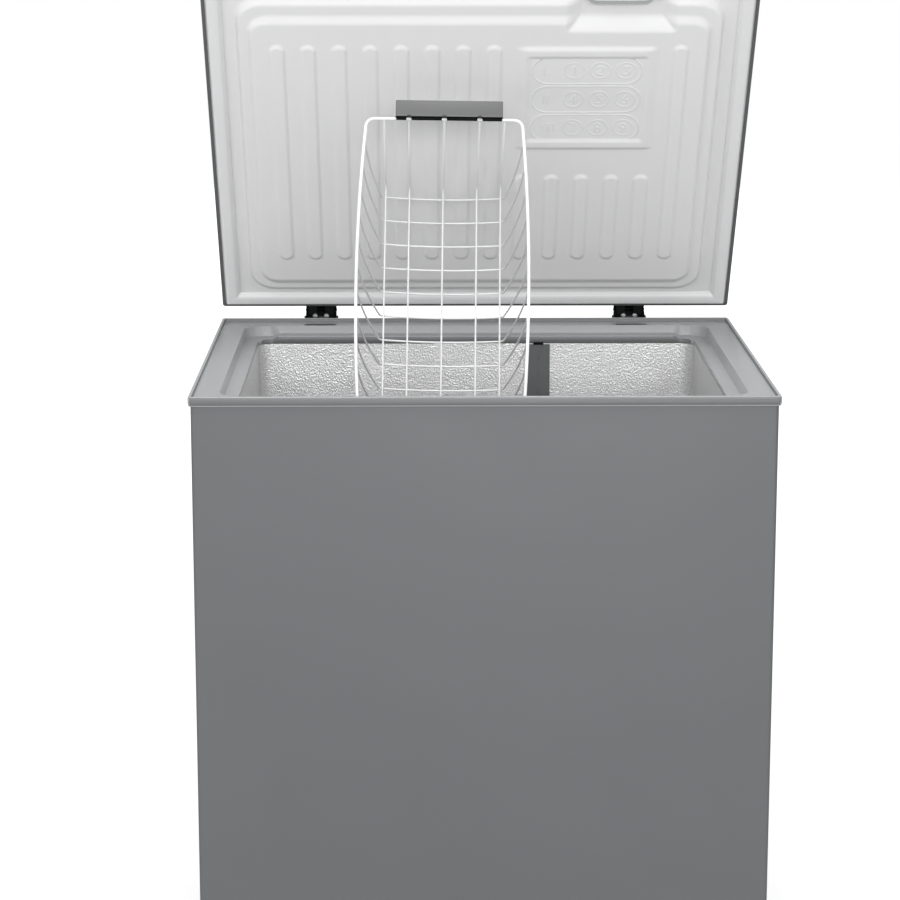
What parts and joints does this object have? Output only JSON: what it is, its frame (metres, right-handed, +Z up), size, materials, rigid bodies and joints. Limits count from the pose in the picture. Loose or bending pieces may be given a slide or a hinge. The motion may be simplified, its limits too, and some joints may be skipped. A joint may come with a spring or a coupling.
{
  "type": "chest freezer",
  "caption": "Compact chest freezer with its hinged lid standing open, an embossed metal compartment with a step over the machine space, and a wire basket standing in it.",
  "frame": {"origin": "on the floor, under the middle of the outline as it stands with the lid open", "axes": "+X to the right, +Y to the back where the hinges are, +Z up; the front faces -Y"},
  "size_m": [0.7, 0.6382, 1.3383],
  "materials": {
    "cabinet_paint": "satin",
    "galvanised": "satin",
    "foam": "matte",
    "liner_aluminium": "satin",
    "frame_plastic": "satin",
    "coil_aluminium": "satin",
    "copper": "satin",
    "dark_plastic": "matte",
    "compressor_black": "satin",
    "rubber_black": "matte",
    "hinge_black": "satin",
    "pin_steel": "satin",
    "panel_white": "satin",
    "gasket_white": "matte",
    "lamp_grey": "satin",
    "lamp_clear": "gloss",
    "wire_white": "gloss",
    "grip_grey": "satin",
    "knob_light": "satin",
    "green_lens": "gloss",
    "red_lens": "gloss",
    "amber_lens": "gloss",
    "drain_white": "satin"
  },
  "bodies": {
    "cabinet": {"cabinet_wrapper": "cabinet_paint", "rear_panel": "cabinet_paint", "base_pan": "galvanised", "foam_front": "foam", "foam_rear": "foam", "foam_left": "foam", "foam_right": "foam", "foam_floor": "foam", "foam_step": "foam", "inner_liner": "liner_aluminium", "top_frame": "frame_plastic", "evaporator_coil": "coil_aluminium", "condenser_coil": "copper", "frame_heater_tube": "copper", "channel_cover": "dark_plastic", "compressor_shell": "compressor_black", "compressor_plate": "hinge_black", "relay_cover": "dark_plastic", "filter_drier": "copper", "suction_line": "copper", "discharge_line": "copper", "side_grille": "dark_plastic", "thermostat_body": "lamp_grey", "rear_cover": "cabinet_paint", "inlet_gland": "rubber_black", "drain_tube": "drain_white", "indicator_0": "green_lens", "indicator_1": "red_lens", "indicator_2": "amber_lens", "foot_0": "rubber_black", "grommet_0": "rubber_black", "foot_1": "rubber_black", "grommet_1": "rubber_black", "foot_2": "rubber_black", "grommet_2": "rubber_black", "foot_3": "rubber_black", "grommet_3": "rubber_black", "hinge_lower_left": "hinge_black", "hinge_pin_left": "pin_steel", "hinge_spring_left": "pin_steel", "hinge_lower_right": "hinge_black", "hinge_pin_right": "pin_steel", "hinge_spring_right": "pin_steel"},
    "lid": {"lid_shell": "cabinet_paint", "lid_foam": "foam", "lid_inner_panel": "panel_white", "lid_gasket": "gasket_white", "lid_handle": "dark_plastic", "lamp_housing": "lamp_grey", "lamp_lens": "lamp_clear", "hinge_upper_left": "hinge_black", "hinge_upper_right": "hinge_black"},
    "knob": {"thermostat_knob": "knob_light"},
    "drain_plug": {"drain_plug": "drain_white"},
    "basket": {"basket_rim": "wire_white", "basket_long_wires": "wire_white", "basket_cross_wires": "wire_white", "basket_grip_top": "grip_grey", "basket_grip_bottom": "grip_grey"}
  },
  "joints": [
    {"name": "lid_hinge", "type": "hinge", "parent": "cabinet", "child": "lid", "pos_m": [0, 0.28888, 0.795], "axis": [-1, 0, 0], "range_deg": [-55.5, 20]},
    {"name": "basket_slide", "type": "slide", "parent": "cabinet", "child": "basket", "axis": [0, 0, 1], "range_m": [-0.425, 0.155]},
    {"name": "thermostat_turn", "type": "hinge", "parent": "cabinet", "child": "knob", "pos_m": [0.34, -0.16412, 0.1662], "axis": [1, 0, 0], "range_deg": [-140, 140]},
    {"name": "drain_plug_pull", "type": "slide", "parent": "cabinet", "child": "drain_plug", "axis": [0, 0, 1], "range_m": [0, 0.03]}
  ],
  "couplings": [
    {"joint": "basket_slide", "follows": "lid_hinge", "m_per_rad": 0.4336}
  ]
}
